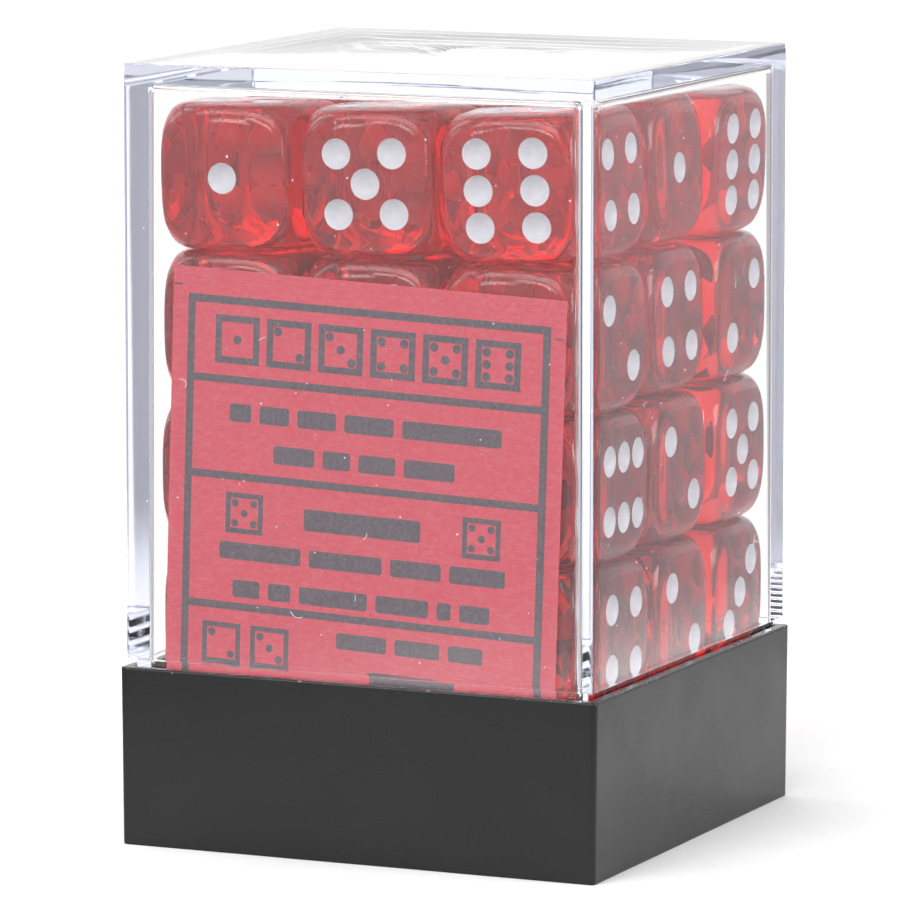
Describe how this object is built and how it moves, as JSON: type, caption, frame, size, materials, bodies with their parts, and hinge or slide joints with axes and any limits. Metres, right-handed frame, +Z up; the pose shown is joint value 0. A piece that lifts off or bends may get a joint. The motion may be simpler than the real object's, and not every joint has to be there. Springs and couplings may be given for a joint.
{
  "type": "boxed dice set",
  "caption": "Clear plastic display box on a black plastic tray, filled with a block of small translucent rounded-corner dice, with a printed card behind the front wall.",
  "frame": {"origin": "middle of the tray's footprint, on the surface it stands on", "axes": "+Z up; the printed card and the front row of dice face -Y; +X is to the right seen from the front"},
  "size_m": [0.0418, 0.0418, 0.0635],
  "materials": {
    "black_polystyrene": "moulded, low gloss",
    "clear_polystyrene": "moulded, clear, polished",
    "translucent_red": "moulded, translucent, tumbled smooth",
    "white_paint": "white paint in the pips",
    "printed_card": "uncoated coloured card, dark grey print"
  },
  "bodies": {
    "tray": {"base_tray": "black_polystyrene"},
    "cover": {"clear_cover": "clear_polystyrene"},
    "card": {"label_card": "printed_card"},
    "die_bottom_front_left": {"die_bottom_front_left": "translucent_red"},
    "die_lower_front_left": {"die_lower_front_left": "translucent_red"},
    "die_upper_front_left": {"die_upper_front_left": "translucent_red"},
    "die_top_front_left": {"die_top_front_left": "translucent_red"},
    "die_bottom_front_centre": {"die_bottom_front_centre": "translucent_red"},
    "die_lower_front_centre": {"die_lower_front_centre": "translucent_red"},
    "die_upper_front_centre": {"die_upper_front_centre": "translucent_red"},
    "die_top_front_centre": {"die_top_front_centre": "translucent_red"},
    "die_bottom_front_right": {"die_bottom_front_right": "translucent_red"},
    "die_lower_front_right": {"die_lower_front_right": "translucent_red"},
    "die_upper_front_right": {"die_upper_front_right": "translucent_red"},
    "die_top_front_right": {"die_top_front_right": "translucent_red"},
    "die_bottom_middle_left": {"die_bottom_middle_left": "translucent_red"},
    "die_lower_middle_left": {"die_lower_middle_left": "translucent_red"},
    "die_upper_middle_left": {"die_upper_middle_left": "translucent_red"},
    "die_top_middle_left": {"die_top_middle_left": "translucent_red"},
    "die_bottom_middle_centre": {"die_bottom_middle_centre": "translucent_red"},
    "die_lower_middle_centre": {"die_lower_middle_centre": "translucent_red"},
    "die_upper_middle_centre": {"die_upper_middle_centre": "translucent_red"},
    "die_top_middle_centre": {"die_top_middle_centre": "translucent_red"},
    "die_bottom_middle_right": {"die_bottom_middle_right": "translucent_red"},
    "die_lower_middle_right": {"die_lower_middle_right": "translucent_red"},
    "die_upper_middle_right": {"die_upper_middle_right": "translucent_red"},
    "die_top_middle_right": {"die_top_middle_right": "translucent_red"},
    "die_bottom_back_left": {"die_bottom_back_left": "translucent_red"},
    "die_lower_back_left": {"die_lower_back_left": "translucent_red"},
    "die_upper_back_left": {"die_upper_back_left": "translucent_red"},
    "die_top_back_left": {"die_top_back_left": "translucent_red"},
    "die_bottom_back_centre": {"die_bottom_back_centre": "translucent_red"},
    "die_lower_back_centre": {"die_lower_back_centre": "translucent_red"},
    "die_upper_back_centre": {"die_upper_back_centre": "translucent_red"},
    "die_top_back_centre": {"die_top_back_centre": "translucent_red"},
    "die_bottom_back_right": {"die_bottom_back_right": "translucent_red"},
    "die_lower_back_right": {"die_lower_back_right": "translucent_red"},
    "die_upper_back_right": {"die_upper_back_right": "translucent_red"},
    "die_top_back_right": {"die_top_back_right": "translucent_red"}
  },
  "joints": [
    {"name": "cover_lift", "type": "slide", "parent": "tray", "child": "cover", "axis": [0, 0, 1], "range_m": [0, 0.06]},
    {"name": "card_slide", "type": "slide", "parent": "tray", "child": "card", "axis": [0, 0, 1], "range_m": [0, 0.0125]},
    {"name": "die_bottom_front_left_rise", "type": "slide", "parent": "tray", "child": "die_bottom_front_left", "axis": [0, 0, 1], "range_m": [0, 0.0007]},
    {"name": "die_lower_front_left_rise", "type": "slide", "parent": "tray", "child": "die_lower_front_left", "axis": [0, 0, 1], "range_m": [0, 0.0007]},
    {"name": "die_upper_front_left_rise", "type": "slide", "parent": "tray", "child": "die_upper_front_left", "axis": [0, 0, 1], "range_m": [0, 0.0007]},
    {"name": "die_top_front_left_rise", "type": "slide", "parent": "tray", "child": "die_top_front_left", "axis": [0, 0, 1], "range_m": [0, 0.0007]},
    {"name": "die_bottom_front_centre_rise", "type": "slide", "parent": "tray", "child": "die_bottom_front_centre", "axis": [0, 0, 1], "range_m": [0, 0.0007]},
    {"name": "die_lower_front_centre_rise", "type": "slide", "parent": "tray", "child": "die_lower_front_centre", "axis": [0, 0, 1], "range_m": [0, 0.0007]},
    {"name": "die_upper_front_centre_rise", "type": "slide", "parent": "tray", "child": "die_upper_front_centre", "axis": [0, 0, 1], "range_m": [0, 0.0007]},
    {"name": "die_top_front_centre_rise", "type": "slide", "parent": "tray", "child": "die_top_front_centre", "axis": [0, 0, 1], "range_m": [0, 0.0007]},
    {"name": "die_bottom_front_right_rise", "type": "slide", "parent": "tray", "child": "die_bottom_front_right", "axis": [0, 0, 1], "range_m": [0, 0.0007]},
    {"name": "die_lower_front_right_rise", "type": "slide", "parent": "tray", "child": "die_lower_front_right", "axis": [0, 0, 1], "range_m": [0, 0.0007]},
    {"name": "die_upper_front_right_rise", "type": "slide", "parent": "tray", "child": "die_upper_front_right", "axis": [0, 0, 1], "range_m": [0, 0.0007]},
    {"name": "die_top_front_right_rise", "type": "slide", "parent": "tray", "child": "die_top_front_right", "axis": [0, 0, 1], "range_m": [0, 0.0007]},
    {"name": "die_bottom_middle_left_rise", "type": "slide", "parent": "tray", "child": "die_bottom_middle_left", "axis": [0, 0, 1], "range_m": [0, 0.0007]},
    {"name": "die_lower_middle_left_rise", "type": "slide", "parent": "tray", "child": "die_lower_middle_left", "axis": [0, 0, 1], "range_m": [0, 0.0007]},
    {"name": "die_upper_middle_left_rise", "type": "slide", "parent": "tray", "child": "die_upper_middle_left", "axis": [0, 0, 1], "range_m": [0, 0.0007]},
    {"name": "die_top_middle_left_rise", "type": "slide", "parent": "tray", "child": "die_top_middle_left", "axis": [0, 0, 1], "range_m": [0, 0.0007]},
    {"name": "die_bottom_middle_centre_rise", "type": "slide", "parent": "tray", "child": "die_bottom_middle_centre", "axis": [0, 0, 1], "range_m": [0, 0.0007]},
    {"name": "die_lower_middle_centre_rise", "type": "slide", "parent": "tray", "child": "die_lower_middle_centre", "axis": [0, 0, 1], "range_m": [0, 0.0007]},
    {"name": "die_upper_middle_centre_rise", "type": "slide", "parent": "tray", "child": "die_upper_middle_centre", "axis": [0, 0, 1], "range_m": [0, 0.0007]},
    {"name": "die_top_middle_centre_rise", "type": "slide", "parent": "tray", "child": "die_top_middle_centre", "axis": [0, 0, 1], "range_m": [0, 0.0007]},
    {"name": "die_bottom_middle_right_rise", "type": "slide", "parent": "tray", "child": "die_bottom_middle_right", "axis": [0, 0, 1], "range_m": [0, 0.0007]},
    {"name": "die_lower_middle_right_rise", "type": "slide", "parent": "tray", "child": "die_lower_middle_right", "axis": [0, 0, 1], "range_m": [0, 0.0007]},
    {"name": "die_upper_middle_right_rise", "type": "slide", "parent": "tray", "child": "die_upper_middle_right", "axis": [0, 0, 1], "range_m": [0, 0.0007]},
    {"name": "die_top_middle_right_rise", "type": "slide", "parent": "tray", "child": "die_top_middle_right", "axis": [0, 0, 1], "range_m": [0, 0.0007]},
    {"name": "die_bottom_back_left_rise", "type": "slide", "parent": "tray", "child": "die_bottom_back_left", "axis": [0, 0, 1], "range_m": [0, 0.0007]},
    {"name": "die_lower_back_left_rise", "type": "slide", "parent": "tray", "child": "die_lower_back_left", "axis": [0, 0, 1], "range_m": [0, 0.0007]},
    {"name": "die_upper_back_left_rise", "type": "slide", "parent": "tray", "child": "die_upper_back_left", "axis": [0, 0, 1], "range_m": [0, 0.0007]},
    {"name": "die_top_back_left_rise", "type": "slide", "parent": "tray", "child": "die_top_back_left", "axis": [0, 0, 1], "range_m": [0, 0.0007]},
    {"name": "die_bottom_back_centre_rise", "type": "slide", "parent": "tray", "child": "die_bottom_back_centre", "axis": [0, 0, 1], "range_m": [0, 0.0007]},
    {"name": "die_lower_back_centre_rise", "type": "slide", "parent": "tray", "child": "die_lower_back_centre", "axis": [0, 0, 1], "range_m": [0, 0.0007]},
    {"name": "die_upper_back_centre_rise", "type": "slide", "parent": "tray", "child": "die_upper_back_centre", "axis": [0, 0, 1], "range_m": [0, 0.0007]},
    {"name": "die_top_back_centre_rise", "type": "slide", "parent": "tray", "child": "die_top_back_centre", "axis": [0, 0, 1], "range_m": [0, 0.0007]},
    {"name": "die_bottom_back_right_rise", "type": "slide", "parent": "tray", "child": "die_bottom_back_right", "axis": [0, 0, 1], "range_m": [0, 0.0007]},
    {"name": "die_lower_back_right_rise", "type": "slide", "parent": "tray", "child": "die_lower_back_right", "axis": [0, 0, 1], "range_m": [0, 0.0007]},
    {"name": "die_upper_back_right_rise", "type": "slide", "parent": "tray", "child": "die_upper_back_right", "axis": [0, 0, 1], "range_m": [0, 0.0007]},
    {"name": "die_top_back_right_rise", "type": "slide", "parent": "tray", "child": "die_top_back_right", "axis": [0, 0, 1], "range_m": [0, 0.0007]}
  ],
  "couplings": [
    {"joint": "die_lower_front_left_rise", "follows": "die_bottom_front_left_rise", "ratio": 1},
    {"joint": "die_upper_front_left_rise", "follows": "die_bottom_front_left_rise", "ratio": 1},
    {"joint": "die_top_front_left_rise", "follows": "die_bottom_front_left_rise", "ratio": 1},
    {"joint": "die_lower_front_centre_rise", "follows": "die_bottom_front_centre_rise", "ratio": 1},
    {"joint": "die_upper_front_centre_rise", "follows": "die_bottom_front_centre_rise", "ratio": 1},
    {"joint": "die_top_front_centre_rise", "follows": "die_bottom_front_centre_rise", "ratio": 1},
    {"joint": "die_lower_front_right_rise", "follows": "die_bottom_front_right_rise", "ratio": 1},
    {"joint": "die_upper_front_right_rise", "follows": "die_bottom_front_right_rise", "ratio": 1},
    {"joint": "die_top_front_right_rise", "follows": "die_bottom_front_right_rise", "ratio": 1},
    {"joint": "die_lower_middle_left_rise", "follows": "die_bottom_middle_left_rise", "ratio": 1},
    {"joint": "die_upper_middle_left_rise", "follows": "die_bottom_middle_left_rise", "ratio": 1},
    {"joint": "die_top_middle_left_rise", "follows": "die_bottom_middle_left_rise", "ratio": 1},
    {"joint": "die_lower_middle_centre_rise", "follows": "die_bottom_middle_centre_rise", "ratio": 1},
    {"joint": "die_upper_middle_centre_rise", "follows": "die_bottom_middle_centre_rise", "ratio": 1},
    {"joint": "die_top_middle_centre_rise", "follows": "die_bottom_middle_centre_rise", "ratio": 1},
    {"joint": "die_lower_middle_right_rise", "follows": "die_bottom_middle_right_rise", "ratio": 1},
    {"joint": "die_upper_middle_right_rise", "follows": "die_bottom_middle_right_rise", "ratio": 1},
    {"joint": "die_top_middle_right_rise", "follows": "die_bottom_middle_right_rise", "ratio": 1},
    {"joint": "die_lower_back_left_rise", "follows": "die_bottom_back_left_rise", "ratio": 1},
    {"joint": "die_upper_back_left_rise", "follows": "die_bottom_back_left_rise", "ratio": 1},
    {"joint": "die_top_back_left_rise", "follows": "die_bottom_back_left_rise", "ratio": 1},
    {"joint": "die_lower_back_centre_rise", "follows": "die_bottom_back_centre_rise", "ratio": 1},
    {"joint": "die_upper_back_centre_rise", "follows": "die_bottom_back_centre_rise", "ratio": 1},
    {"joint": "die_top_back_centre_rise", "follows": "die_bottom_back_centre_rise", "ratio": 1},
    {"joint": "die_lower_back_right_rise", "follows": "die_bottom_back_right_rise", "ratio": 1},
    {"joint": "die_upper_back_right_rise", "follows": "die_bottom_back_right_rise", "ratio": 1},
    {"joint": "die_top_back_right_rise", "follows": "die_bottom_back_right_rise", "ratio": 1}
  ]
}
